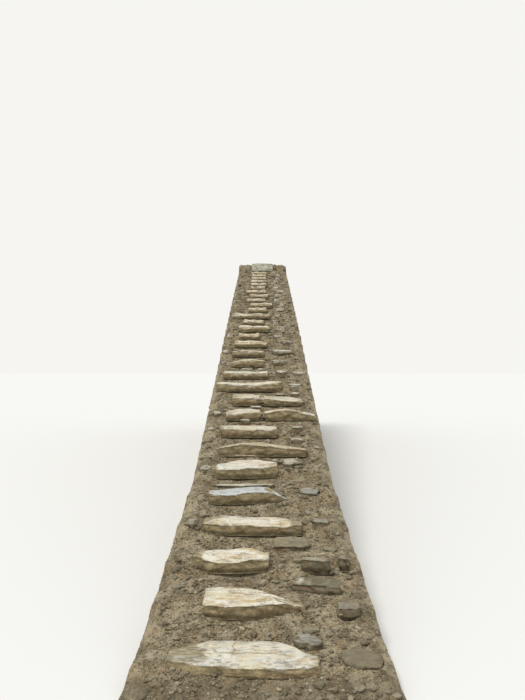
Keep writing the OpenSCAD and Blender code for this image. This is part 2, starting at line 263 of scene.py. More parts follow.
class StoneSettings(bpy.types.PropertyGroup):
    near_step: length("Near mesh step", 0.008, "Mesh step of the lowest packing stones")
    far_step: length("Far mesh step", 0.015, "Mesh step of the highest packing stones")
    light: colour("Light", "dad3bd", "Lighter stones")
    middle: colour("Middle", "a09579", "Usual face of a packing stone")
    dark: colour("Dark", "7d725a", "Darker stones")
    grey: colour("Grey", "9b988b", "Greyer stones")
    tan: colour("Tan", "958766", "Warm stains")
    rubble: colour("Rubble", "b1a68b", "Lighter rubble stones")
    soiled: colour("Soiled", "70694f", "Ends stained by the earth")
    head: colour("Head block", "d3d1bf", "Grey block that ends the flight")


class EarthSettings(bpy.types.PropertyGroup):
    near_step: length("Near mesh step", 0.009, "Mesh step of the earth at the foot")
    far_step: length("Far mesh step", 0.024, "Mesh step of the earth at the head")
    lump: length("Lump", 0.012, "Height of the lumps of the earth")
    hollow: length("Hollow", 0.014, "How far feet have worn the middle of the path")
    crumbs: count("Crumbs", 5200, "Loose crumbs of earth in the lowest bay")
    dry: colour("Dry", "a3967a", "Dry earth")
    damp: colour("Damp", "74684f", "Damp earth")
    brown: colour("Brown", "8f7858", "Browner patches")


class WallSettings(bpy.types.PropertyGroup):
    row: length("Row height", 0.165, "Usual height of a rubble stone")
    stretch: number("Stretch", 2.1, "Length of a rubble stone over its height")
    deep: length("Stone depth", 0.14, "Depth of a facing stone")
    gap: length("Open joint", 0.012, "Open joint between facing stones")
    cover: length("Cover", 0.135, "Earth over the top row, below the line of the noses")
    lean: number("Lean", 0.08, "Lean of the sides for each metre of height")
    grit: count("Grit", 620, "Loose small stones in the lowest bay")


class StageSettings(bpy.types.PropertyGroup):
    eye_back: length("Eye distance", 3.283, "Distance from the lowest nose line to the camera")
    eye_height: length("Eye height", 1.599, "Height of the camera above the foot")
    eye_tilt: angle("Eye tilt", 1, "Upward tilt of the camera")
    focal: number("Focal length", 680, "In pixels of the photograph")
    floor: colour("Floor", "eceae4", "Plain floor")
    backdrop: colour("Backdrop", "f6f5f2", "What the camera sees past the floor")
    sky: number("Sky strength", 0.66, "Strength of the soft light from all round")
    sun: number("Sun strength", 1.75, "Strength of the soft light from above")
    sun_wide: angle("Sun width", 22, "Width of the light from above, which softens its shadows")
    sun_lean: angle("Sun lean", 16, "Lean of the light from above towards the foot")
    sun_turn: angle("Sun turn", -20, "Lean of the light from above towards the right")


GROUPS = {
    "steps_slabs": SlabSettings,
    "steps_stones": StoneSettings,
    "steps_earth": EarthSettings,
    "steps_walls": WallSettings,
    "steps_stage": StageSettings,
}


# Nodes and materials


def add_node(tree, kind, links=None, **settings):
    """Adds a shader node with its settings; links maps its sockets to values or to other sockets."""
    node = tree.nodes.new("ShaderNode" + kind)
    for key, value in settings.items():
        setattr(node, key, value)
    for socket, value in (links or {}).items():
        if isinstance(value, bpy.types.NodeSocket):
            tree.links.new(value, node.inputs[socket])
        else:
            node.inputs[socket].default_value = value
    return node


def pattern(tree, size, detail=3, stretch=(1, 1, 1), turn=0.0):
    """Cloudy pattern, about 0.3 to 0.7, whose blotches measure about size metres on the object."""
    where = add_node(tree, "TexCoord").outputs["Object"]
    links = {"Vector": where, "Scale": stretch, "Rotation": (0, 0, turn)}
    place = add_node(tree, "Mapping", links)
    links = {"Vector": place.outputs[0], "Scale": 1 / size, "Detail": detail, "Roughness": 0.6}
    return add_node(tree, "TexNoise", links).outputs["Fac"]


def total(tree, *terms):
    """Sum of the terms, each a socket and its share."""
    result = 0.0
    for socket, share in terms:
        links = {0: socket, 1: share, 2: result}
        result = add_node(tree, "Math", links, operation="MULTIPLY_ADD").outputs[0]
    return result


def cover(tree, share, *masks):
    """Share that is left by every mask: a socket, or a socket with the value at which it hides all and
    the value at which it hides nothing."""
    for mask in masks:
        if isinstance(mask, tuple):
            links = {"Value": mask[0], "From Min": mask[1], "From Max": mask[2]}
            ramp = add_node(tree, "MapRange", links, interpolation_type="SMOOTHSTEP")
            mask = ramp.outputs["Result"]
        share = add_node(tree, "Math", {0: mask, 1: share}, operation="MULTIPLY").outputs[0]
    return share


def paint(tree, body, *coats):
    """Paints coats over the colour body, each a colour, its share and the masks that leave it."""
    for over, share, *masks in coats:
        a, b = [c if isinstance(c, bpy.types.NodeSocket) else (*c, 1) for c in (body, over)]
        links = {0: cover(tree, share, *masks), 6: a, 7: b}
        body = add_node(tree, "Mix", links, data_type="RGBA").outputs[2]
    return body


def new_material(name):
    """A matt material with its tree and shader."""
    material = bpy.data.materials.new(name)
    material.use_nodes = True
    tree = material.node_tree
    tree.nodes.clear()
    # Usual values for dry stone and earth, which are rough and have next to no gloss
    surface = {"Roughness": 0.9, "IOR": 1.5, "Specular IOR Level": 0.3}
    shader = add_node(tree, "BsdfPrincipled", surface)
    add_node(tree, "OutputMaterial", {"Surface": shader.outputs[0]})
    return material, tree, shader


def finish_material(tree, shader, body, relief, *heights):
    """Gives the shader its colour, and a bump of relief metres from the sum of the heights."""
    tree.links.new(body, shader.inputs["Base Color"])
    links = {"Height": total(tree, *heights), "Strength": 1.0, "Distance": relief}
    tree.links.new(add_node(tree, "Bump", links).outputs[0], shader.inputs["Normal"])


def split_material(name, s, cream, pale, tan, grey, edge, soil, ochre):
    """Split stone, foot-worn, dry and matt: pale trodden faces with cool patches, rust stains, flecks
    and hair cracks, a purplish arris, and dark weathered edges that darken towards the earth and show
    a thin red bedding line in places."""
    material, tree, shader = new_material(name)
    tone, dull, worn, dirt, rise, seam = [
        add_node(tree, "Attribute", attribute_name=layer).outputs["Fac"] for layer in STONE_LAYERS]
    # The trodden face: worn patches, the stone's own tint and cool clouds, with rust stains here
    # and there, weathered blotches, flecks and hair cracks. Its sand grains are finer than a
    # millimetre, and are drawn 7 mm coarse so that they show
    patches = total(tree, (pattern(tree, 0.15, 5, (0.7, 1.6, 1)), 1), (dull, -0.2))
    clouds = total(tree, (tone, 1), (pattern(tree, 0.12, 4, (0.5, 1.8, 1)), 0.9))
    cool = pattern(tree, 0.05, 5, (0.8, 1.3, 1), 0.3)
    stains, places = pattern(tree, 0.06, 6, (0.7, 1.4, 1)), pattern(tree, 0.3, 2)
    blotches = pattern(tree, 0.055, 6, (0.8, 1.1, 1), 0.1)
    flecks = pattern(tree, 0.03, 6, (0.55, 1.5, 1.5), 0.06)
    flecks = cover(tree, 1, (flecks, 0.54, 0.61), (pattern(tree, 0.14, 3), 0.42, 0.58))
    hairs = pattern(tree, 0.1, 6, (0.4, 1.6, 1), 0.04)
    hairs = cover(tree, 1, (hairs, 0.485, 0.5), (hairs, 0.515, 0.5), (pattern(tree, 0.13, 2), 0.54, 0.62))
    grains = pattern(tree, 0.007, 3)
    top = paint(
        tree, cream,
        (pale, 1, (patches, 0.34, 0.56)),
        (tan, 0.6, dull),
        (s.warm, 0.7, (tone, -0.05, -0.4)),
        (grey, 0.9, (clouds, 0.55, 1.1)),
        (grey, 0.6, (cool, 0.5, 0.62), (tone, 0, 0.25)),
        (ochre, 0.66, (stains, 0.47, 0.6), (places, 0.38, 0.54), (tone, 0.6, 0)),
        (edge, 0.36, (blotches, 0.54, 0.66)),
        (s.umber, 0.55, flecks),
        (s.damp, 0.5, hairs),
        (s.umber, 0.42, (grains, 0.54, 0.68)),
    )
    # The broken edge: blotched along its beds, with a thin red line in places, and damp at the earth
    beds = pattern(tree, 0.06, 5, (1, 1, 2.4))
    line = total(tree, (rise, 1), (pattern(tree, 0.2, 3), 0.16))
    front = paint(
        tree, shade(edge, 0.72),
        (shade(edge, 1.3), 1, (beds, 0.38, 0.64)),
        (s.rust, 0.6, (line, 0.53, 0.57), (line, 0.62, 0.58), (pattern(tree, 0.3, 2), 0.47, 0.55)),
        (s.damp, 0.6, (rise, 0.5, 0.1)),
    )
    # The face ends in a purplish arris over the edge, and earth is trodden onto it
    shown = total(tree, (worn, 1), (pattern(tree, 0.012, 3), 0.3))
    body = paint(
        tree, front,
        (top, 1, (shown, 0.55, 0.75)),
        (s.umber, 0.45, (shown, 0.42, 0.6), (shown, 0.95, 0.7), (tone, -0.1, 0)),
        (soil, 0.95, dirt, (pattern(tree, 0.03, 5, (0.6, 1.4, 1)), 0.7, 0.3)),
        (s.damp, 0.62, seam),
    )
    relief = pattern(tree, 0.028, 6)
    finish_material(tree, shader, body, 0.008, (relief, 1), (grains, 0.3), (flecks, -0.3), (hairs, -0.2))
    return material


def rubble_material(name, low, high):
    """Weathered broken stone: dull, blotched and pitted; every stone has its own tone."""
    material, tree, shader = new_material(name)
    tone = add_node(tree, "Attribute", attribute_name="tone").outputs["Fac"]
    pits = pattern(tree, 0.045, 7)
    body = paint(
        tree, low,
        (high, 1, tone),
        (shade(low, 0.7), 0.55, (pattern(tree, 0.09, 5), 0.4, 0.66)),
        (high, 0.45, (pattern(tree, 0.014, 3), 0.55, 0.72)),
        (shade(low, 0.4), 0.7, (pits, 0.47, 0.36)),
        (shade(high, 1.15), 0.5, (pits, 0.55, 0.68)),
    )
    finish_material(tree, shader, body, 0.02, (pits, 1), (pattern(tree, 0.012, 3), 0.15))
    return material


def earth_material(s):
    """Packed earth: crumbly, lighter on its lumps and darker in its hollows, with grit and pits."""
    material, tree, shader = new_material("packed_earth_trodden")
    dark_share = add_node(tree, "Attribute", attribute_name="tone").outputs["Fac"]
    # Its grit of one or two millimetres is drawn 9 mm coarse, and its pits 12 mm, so that they show
    body = paint(
        tree, s.damp,
        (s.dry, 1, (pattern(tree, 0.1, 6), 0.4, 0.58)),
        (s.brown, 0.7, (pattern(tree, 0.12, 5), 0.5, 0.62)),
        (shade(s.dry, 1.45), 0.8, (pattern(tree, 0.009, 4), 0.52, 0.64)),
        (shade(s.damp, 0.25), 0.8, (pattern(tree, 0.012, 4), 0.46, 0.36)),
        (shade(s.damp, 0.4), 0.65, (pattern(tree, 0.04, 6), 0.46, 0.37)),
        (shade(s.dry, 1.4), 0.8, (dark_share, 0, -0.4)),
        (shade(s.damp, 0.6), 0.6, dark_share),
    )
    finish_material(tree, shader, body, 0.01, (pattern(tree, 0.03, 6), 0.7), (pattern(tree, 0.008, 3), 0.4))
    return material


# Meshes


def new_object(name, data):
    """A new object in the scene."""
    item = bpy.data.objects.new(name, data)
    bpy.context.scene.collection.objects.link(item)
    return item


def finish_piece(bm, name, material, crease, replaced=()):
    """Makes a bmesh a piece that rides on the flight; crease is in degrees."""
    for v in bm.verts:
        v.co = [min(max(c, a), b) for c, a, b in zip(v.co, *CAD_BOX)]
    mesh = bpy.data.meshes.new(name)
    bmesh.ops.recalc_face_normals(bm, faces=bm.faces)
    bm.to_mesh(mesh)
    bm.free()
    mesh.shade_smooth()
    mesh.set_sharp_from_angle(angle=math.radians(crease))
    piece = new_object(name, mesh)
    mesh.materials.append(material)
    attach(piece, "root")
    if replaced:
        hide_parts(*replaced)


def fine_copy(node, step):
    """A bmesh of a CAD node's solids with an even mesh of about step metres."""
    bm = bmesh.new()
    bm.from_mesh(NODES[node].data)
    bmesh.ops.remove_doubles(bm, verts=bm.verts, dist=MERGE)
    mesh = bpy.data.meshes.new("coarse")
    bm.to_mesh(mesh)
    bm.free()
    holder = new_object("coarse", mesh)
    remesh = holder.modifiers.new("Even mesh", "REMESH")
    remesh.mode = "VOXEL"
    remesh.voxel_size = step
    fine = bpy.data.meshes.new_from_object(holder.evaluated_get(bpy.context.evaluated_depsgraph_get()))
    bm = bmesh.new()
    bm.from_mesh(fine)
    bpy.data.objects.remove(holder)
    bpy.data.meshes.remove(mesh)
    bpy.data.meshes.remove(fine)
    return bm


def layers(bm, names=("tone",)):
    return [bm.verts.layers.float.new(name) for name in names]


def far_of(bay):
    """0 at the foot and 1 from FAR_BAY on."""
    return min(1.0, bay / FAR_BAY)


def step_of(bay, near, far):
    """Mesh step for a bay, finer near the foot."""
    return near + (far - near) * far_of(bay)


def brink_of(bay):
    """Slopes between which a stone's edge turns worn, and how far down its front is worn too."""
    far = far_of(bay)
    steep, flat = [a + (b - a) * far for a, b in zip(NEAR_BRINK, FAR_BRINK)]
    return steep, flat, FAR_BAND * far


def islands(bm):
    """Lists of vertices, one for each separate solid."""
    seen = set()
    for start in bm.verts:
        if start in seen:
            continue
        group, queue = [], [start]
        seen.add(start)
        while queue:
            v = queue.pop()
            group.append(v)
            for e in v.link_edges:
                other = e.other_vert(v)
                if other not in seen:
                    seen.add(other)
                    queue.append(other)
        yield group


def extent(verts):
    """Lowest and highest corner of some vertices."""
    return [Vector([pick(v.co[k] for v in verts) for k in range(3)]) for pick in (min, max)]


def cloud(x, y, z):
    """Smooth noise at a place, from about -1 to 1."""
    return noise.noise(Vector((x, y, z)))


def facets(q, size):
    """Relief of flat facets of about size metres, each with its own tilt, from about -0.5 to 0.5."""
    spot = q / size
    centre = noise.voronoi(spot)[1][0]
    return 0.6 * noise.cell_vector(centre * 7.3).dot(spot - centre)


def knock_corners(verts, rng, nearest, furthest):
    """Cuts flat faces off a stone: five round it, at nearest to furthest of its reach, and its top."""
    low, high = extent(verts)
    middle, half = (low + high) / 2, (high - low) / 2
    sides = 5
    turn = rng.uniform(0, 2 * math.pi)
    cuts = []
    for k in range(sides):
        bearing = turn + 2 * math.pi * (k + rng.uniform(-0.3, 0.3)) / sides
        out = Vector((math.cos(bearing), math.sin(bearing), rng.uniform(0.0, 0.35))).normalized()
        reach = math.hypot(half.x * out.x, half.y * out.y) + half.z * out.z
        cuts.append((out, reach * rng.uniform(nearest, furthest)))
    out = Vector((rng.uniform(-0.12, 0.12), rng.uniform(-0.3, 0.1), 1)).normalized()
    cuts.append((out, half.z - 0.004))
    for v in verts:
        for out, reach in cuts:
            beyond = (v.co - middle).dot(out) - reach
            if beyond > 0:
                v.co -= out * beyond


def side_relief(q, height, s, seed):
    """How far a broken side stands back at q: low ledges, one a bedding layer, chips and facets."""
    level = (height + 0.012 * noise.noise(q * 5)) / s.layer
    k = math.floor(level)
    here, above = [noise.cell(Vector((seed, 0.5, k + j))) * 0.5 + 0.5 for j in (0, 1)]
    ledge = here + (above - here) * smooth(0.75, 1.0, level - k)
    ledge *= smooth(-0.15, 0.3, noise.noise(q * 3.1))
    chip = max(0.0, noise.noise(q * 16)) + 0.7 * max(0.0, noise.noise(q * 6))
    return s.ledge * ledge + s.chip * chip + s.facet * (0.5 + facets(q, s.facet_wide))


def top_relief(q, s, seed):
    """Height of a trodden top at q, and how far the seam round a missing flake shows there."""
    shelf = cloud(q.x * 3.4, q.y * 11, seed)
    shelf += 0.4 * cloud(q.x * 10, q.y * 30, seed + 3)
    level = shelf * 2.8
    k = math.floor(level)
    sharp = smooth(-0.1, 0.25, cloud(q.x * 2.3, q.y * 2.3, seed + 9))
    flake = sharp * (k + smooth(0.0, 0.16, level - k)) + (1 - sharp) * level
    seam = 0.75 * sharp * (1 - smooth(0.0, 0.15, level - k))
    return s.flake * flake + s.wave * cloud(q.x * 4, q.y * 4, seed), seam


def crack_at(p, low, middle, seed, cracks, cross):
    """How deep the cracks are at p, from 0 to 1: those along the top, and the one across it."""
    depth = 0.0
    for line, slant, other in cracks:
        line += slant * (p.x - middle.x) + 0.014 * cloud(p.x * 9, other, seed)
        shown = smooth(0.0, 0.2, cloud(p.x * 3, other + 4, seed))
        depth = max(depth, shown * (1 - smooth(0.001, 0.007, abs(p.y - line))))
    if cross is not None:
        line = cross + 0.016 * cloud(p.y * 14, 2.5, seed)
        behind_nose = smooth(low.y + 0.08, low.y + 0.16, p.y)
        depth = max(depth, 0.8 * behind_nose * (1 - smooth(0.001, 0.006, abs(p.x - line))))
    return depth


def weather_stone(verts, seed, s, marks, look, brink, cross=None):
    """Breaks and weathers a smooth stone, and fills in its STONE_LAYERS. look holds the stone's four
    values, brink what brink_of gives for its bay, and cross is where along X a crack runs across it."""
    grey, dull, left_end, right_end = look
    steep, flat_enough, band = brink
    low, high = extent(verts)
    middle, half = (low + high) / 2, (high - low) / 2
    shift = Vector((seed * 3.17, seed * 1.31, seed * 0.73))
    rng = random.Random(seed)
    cracks = [(middle.y + rng.uniform(-0.6, 0.6) * half.y, rng.uniform(-0.06, 0.06), rng.uniform(0, 9))
              for _ in range(2)]
    changes = []
    for v in verts:
        p, n = v.co, v.normal
        q = p + shift
        worn = smooth(steep, flat_enough, n.z)
        if band:
            depth = high.z - p.z + 0.008 * noise.noise(q * 11)
            worn = max(worn, 1 - smooth(band - 0.008, band + 0.008, depth))
        side = 1 - smooth(0.3, 0.8, abs(n.z))
        back = side * side_relief(q, p.z - low.z, s, seed) if side > 0 else 0.0
        lift, seam = top_relief(q, s, seed)
        crack = crack_at(p, low, middle, seed, cracks, cross)
        out = Vector((n.x, n.y, 0))
        if out.length > 1e-4:
            out.normalize()
        sandy = 0.0012 * (1 + noise.noise(q * 45))
        place = p - out * back - n * sandy + Vector((0, 0, worn * (lift - 0.003 * crack)))
        # Earth lies on the tips and the back, and the dark ends begin unevenly
        blot = 0.16 * noise.noise(q * 9) + 0.1 * noise.noise(q * 27)
        tip = smooth(0.72, 1.04, abs(p.x - middle.x) / half.x + blot)
        rear = smooth(0.78, 1.02, (p.y - low.y) / (2 * half.y) + blot)
        along = (p.x - middle.x) / (2 * half.x) + 0.5 + blot
        dark_left = smooth(left_end + 0.06, left_end - 0.06, along) if left_end else 0.0
        dark_right = smooth(0.94 - right_end, 1.06 - right_end, along) if right_end else 0.0
        dark = max(dark_left, dark_right)
        # A tip that drops away isn't trodden
        dropping = smooth(0.2, 0.27, abs(n.x)) if abs(n.y) < 0.3 else 0.0
        shown = worn * (1 - 0.95 * dropping)
        dirt = max(tip, rear, 1.5 * dark) * shown
        values = (grey, dull + dark, shown, dirt, (p.z - low.z) * 10, max(seam, crack) * worn)
        changes.append((v, place, values))
    for v, place, values in changes:
        v.co = place
        for mark, value in zip(marks, values):
            v[mark] = value


def facing_stone(seed, planes, s, rng):
    """One rough facing stone on the plane z = 0, its face towards +Z: the part of the plane round seed that
    planes leave, with rounded corners and a bulging face. Nothing where too little is left."""
    bm = bmesh.new()
    bmesh.ops.create_grid(bm, x_segments=1, y_segments=1, size=1.0)
    bmesh.ops.translate(bm, verts=bm.verts, vec=seed)
    for point, normal in planes:
        geometry = bm.verts[:] + bm.edges[:] + bm.faces[:]
        bmesh.ops.bisect_plane(bm, geom=geometry, plane_co=point, plane_no=normal, clear_outer=True)
    face = next(iter(bm.faces), None)
    if face is None or face.calc_area() < SMALLEST_FACE:
        bm.free()
        return None
    centre = face.calc_center_median()
    corners = len(bm.verts)
    bmesh.ops.bisect_edges(bm, edges=bm.edges, cuts=1)
    for k, v in enumerate(bm.verts):
        v.co += Vector((rng.uniform(-1, 1), rng.uniform(-1, 1), 0)) * 0.003
        if k < corners:
            v.co += (centre - v.co).normalized() * rng.uniform(0.004, 0.014)
    rim = list(bm.verts)
    bmesh.ops.extrude_face_region(bm, geom=bm.faces[:])
    front = [v for v in bm.verts if v not in rim]
    for v in rim:
        v.co.z -= s.deep * rng.uniform(0.75, 0.9)
    for v in front:
        v.co.z += rng.uniform(-0.012, 0.0)
    face = next(f for f in bm.faces if all(v in front for v in f.verts))
    bulge = bmesh.ops.poke(bm, faces=[face])["verts"][0]
    bulge.co.z += rng.uniform(0.004, 0.014)
    edges = [e for v in front for e in v.link_edges if e.other_vert(v) in front]
    bmesh.ops.bevel(bm, geom=list(set(edges)), offset=rng.uniform(0.008, 0.014), segments=1, profile=0.5,
                    affect="EDGES", material=-1)
    return bm


def rubble_face(s, rng, place, out, start, end, top, limits, take):
    """Fills one face with stones in uneven rows, lower towards the top, each the block nearer to its own
    seed than to any other. place maps along and height to a point of the face, and take stores a stone."""
    highest = max(top(start), top(end))
    seeds = []
    base = 0.0
    while base < highest:
        high = s.row * (1.45 - 0.7 * base / highest) * rng.uniform(0.8, 1.2)
        along = start - rng.random() * s.stretch * high
        while along < end + high:
            wide = s.stretch * high * rng.uniform(0.55, 1.5)
            seed = Vector((along + wide / 2, base + high * rng.uniform(0.34, 0.66), 0))
            if seed.y < top(seed.x) + 0.3:
                seeds.append(seed)
            along += wide
        base += high
    tree = kdtree.KDTree(len(seeds))
    for k, seed in enumerate(seeds):
        tree.insert((seed.x / s.stretch, seed.y, 0), k)
    tree.balance()
    for seed in seeds:
        planes = []
        for _, k, _ in tree.find_n((seed.x / s.stretch, seed.y, 0), 12)[1:]:
            normal = Vector(((seeds[k].x - seed.x) / s.stretch ** 2, seeds[k].y - seed.y, 0)).normalized()
            planes.append(((seed + seeds[k]) / 2 - normal * s.gap * rng.uniform(0.25, 0.7), normal))
        stone = facing_stone(seed, planes + limits, s, rng)
        if stone:
            for v in stone.verts:
                v.co = place(v.co.x, v.co.y) + out * (v.co.z - FACE_BACK)
            take(stone, seed.x)


def scatter(bm, rng, amount, spot, size_of, round_shape):
    """Adds small lumps where spot gives a place for them: rounded ones, or crumbs with few faces."""
    tone_layer = bm.verts.layers.float["tone"]
    for _ in range(amount):
        place = spot()
        if place is None:
            continue
        size = size_of()
        if round_shape:
            made = bmesh.ops.create_icosphere(bm, subdivisions=1, radius=1.0)["verts"]
        else:
            made = bmesh.ops.create_cube(bm, size=1.4)["verts"]
        turn = rng.uniform(0, math.pi)
        wide, tall, tone = rng.uniform(0.55, 1.0), rng.uniform(0.35, 0.65), rng.uniform(-0.4, 0.8)
        for v in made:
            co = v.co * (1 + rng.uniform(-0.25, 0.25))
            x, y = co.x, co.y * wide
            turned = (x * math.cos(turn) - y * math.sin(turn), x * math.sin(turn) + y * math.cos(turn))
            v.co = place + size * Vector((*turned, co.z * tall + 0.12))
            v[tone_layer] = tone


# The flight


class Flight:
    """Lines and planes of the flight that the pieces share."""

    def __init__(self, s):
        self.lean = s.lean
        self.cover = s.cover
        boxes = [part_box(bed) for bed in BEDS]
        self.cuts = [low.y for low, _ in boxes] + [boxes[-1][1].y]
        self.foot = self.cuts[0]
        self.end = self.cuts[-1]
        second, last = boxes[1][1], boxes[-1][1]
        self.spread = (last.x - second.x) / (last.y - second.y)
        self.half_at_end = last.x
        self.foot_flare = boxes[0][1].x - self.plain(self.foot)
        self.beds = tree_of([NODES[bed] for bed in BEDS])

    def plain(self, y):
        """Half width of the bed on the ground at y, without the flare of the lowest bay."""
        return self.half_at_end + self.spread * (y - self.end)

    def flare(self, y):
        """How much wider the lowest bay is on each side at y."""
        return self.foot_flare * max(0.0, (self.cuts[1] - y) / (self.cuts[1] - self.foot))

    def reach(self, y, z):
        """Half width of the bed at y and height z."""
        return self.plain(y) + self.flare(y) - self.lean * z

    def sill(self, y):
        """Height of the facing's top at y, under its cover of earth."""
        return (self.plain(y) - TOP_HALF) / self.lean - self.cover

    def level(self, y):
        """Height of the packed earth at y, away from the stones, with its corners worn round."""
        heights = []
        for shift in (-0.02, -0.01, 0.0, 0.01, 0.02):
            inside = min(self.end - 1e-4, max(self.foot + 1e-4, y + shift))
            hit = top_at(self.beds, CLEAR_EDGE, inside)
            if hit is None:
                raise RuntimeError(f"no bed under y = {y}")
            heights.append(hit.z)
        return sum(heights) / len(heights)

    def bay_of(self, y):
        return sum(y >= cut for cut in self.cuts[1:-1])


def tree_of(pieces):
    """Ray-cast tree of some objects."""
    points, faces = [], []
    for piece in pieces:
        start = len(points)
        points += [v.co for v in piece.data.vertices]
        faces += [[start + i for i in f.vertices] for f in piece.data.polygons]
    return BVHTree.FromPolygons(points, faces)


def top_at(tree, x, y):
    """The highest point of a tree at x and y, or None."""
    return tree.ray_cast(Vector((x, y, SKY)), DOWN)[0]


def stones_tree():
    """Ray-cast tree of every slab and stone as shown."""
    kinds = ("slab_", "packing_", "head_")
    return tree_of([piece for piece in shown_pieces() if piece.name.startswith(kinds)])


# Operators


class StepsOperator:
    bl_options = {"REGISTER", "UNDO"}


class STEPS_OT_slabs(StepsOperator, bpy.types.Operator):
    """Breaks and weathers the tread slabs"""
    bl_idname = "steps.slabs"
    bl_label = "Tread slabs"

    def execute(self, context):
        s = context.scene.steps_slabs
        material = split_material("split_sandstone_foot_worn", s, s.cream, s.pale, s.tan, s.blue_grey,
                                  s.edge, s.soil, s.ochre)
        for k, node in enumerate(TREADS):
            bay = k / STEPS_PER_BAY
            bm = fine_copy(node, step_of(bay, s.near_step, s.far_step))
            marks = layers(bm, STONE_LAYERS)
            rng = random.Random(900 + k)
            for j, verts in enumerate(islands(bm)):
                guess = (rng.uniform(-0.4, -0.1), rng.uniform(-1.2, -0.3), 0.0, 0.0)
                look = SLAB_LOOKS.get(k + 1, guess)
                weather_stone(verts, 11 + 3 * k + j, s, marks, look, brink_of(bay), CROSS_CRACKS.get(k + 1))
            finish_piece(bm, f"slab_{k + 1:02d}", material, 50, [node])
        return {"FINISHED"}


class STEPS_OT_packing_stones(StepsOperator, bpy.types.Operator):
    """Breaks and weathers the stones beside the slabs"""
    bl_idname = "steps.packing_stones"
    bl_label = "Packing stones"

    def execute(self, context):
        s = context.scene.steps_slabs
        look = context.scene.steps_stones
        material = split_material("field_stone_weathered", s, look.middle, look.light, look.dark, look.grey,
                                  look.dark, look.soiled, look.tan)
        noses = [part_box(node)[0].y for node in TREADS]
        for bay in range(N_BAYS):
            node = f"side_stones_{bay + 1}"
            bm = fine_copy(node, step_of(bay, look.near_step, look.far_step))
            marks = layers(bm, STONE_LAYERS)
            rng = random.Random(401 + bay)
            for j, verts in enumerate(islands(bm)):
                centre = sum((v.co for v in verts), Vector()) / len(verts)
                place, own = min(STONE_LOOKS.items(), key=lambda item: (Vector(item[0]) - centre.xy).length)
                # A stone that lies behind a slab is paler, and so is one far up
                behind = smooth(0.22, 0.3, centre.y - max(nose for nose in noses if nose < centre.y))
                far = min(1.0, bay / 2)
                grey = rng.uniform(0.0, 0.7) * (1 - behind) * (1 - 0.7 * far)
                dull = rng.uniform(0.1, 0.9) * (1 - 0.8 * behind) - 0.5 * behind - 1.2 * far
                known = (Vector(place) - centre.xy).length < SAME_STONE
                knock_corners(verts, rng, *(KNOWN_CORNERS if known else OTHER_CORNERS))
                weather_stone(verts, 200 + 17 * bay + j, s, marks, own if known else (grey, dull, 0.0, 0.0),
                              brink_of(bay))
            finish_piece(bm, f"packing_stones_{bay + 1}", material, 50, [node])
        return {"FINISHED"}


class STEPS_OT_head_block(StepsOperator, bpy.types.Operator):
    """Weathers the block that ends the flight"""
    bl_idname = "steps.head_block"
    bl_label = "Head block"

    def execute(self, context):
        s = context.scene.steps_slabs
        look = context.scene.steps_stones
        bm = fine_copy("landing_slab", look.far_step)
        marks = layers(bm, STONE_LAYERS)
        for verts in islands(bm):
            weather_stone(verts, 77, s, marks, HEAD_LOOK, brink_of(N_BAYS))
        material = split_material("grey_stone_block_weathered", s, s.tan, s.cream, look.head, look.head,
                                  look.head, s.soil, s.ochre)
        finish_piece(bm, "head_block", material, 50, ["landing_slab"])
        return {"FINISHED"}


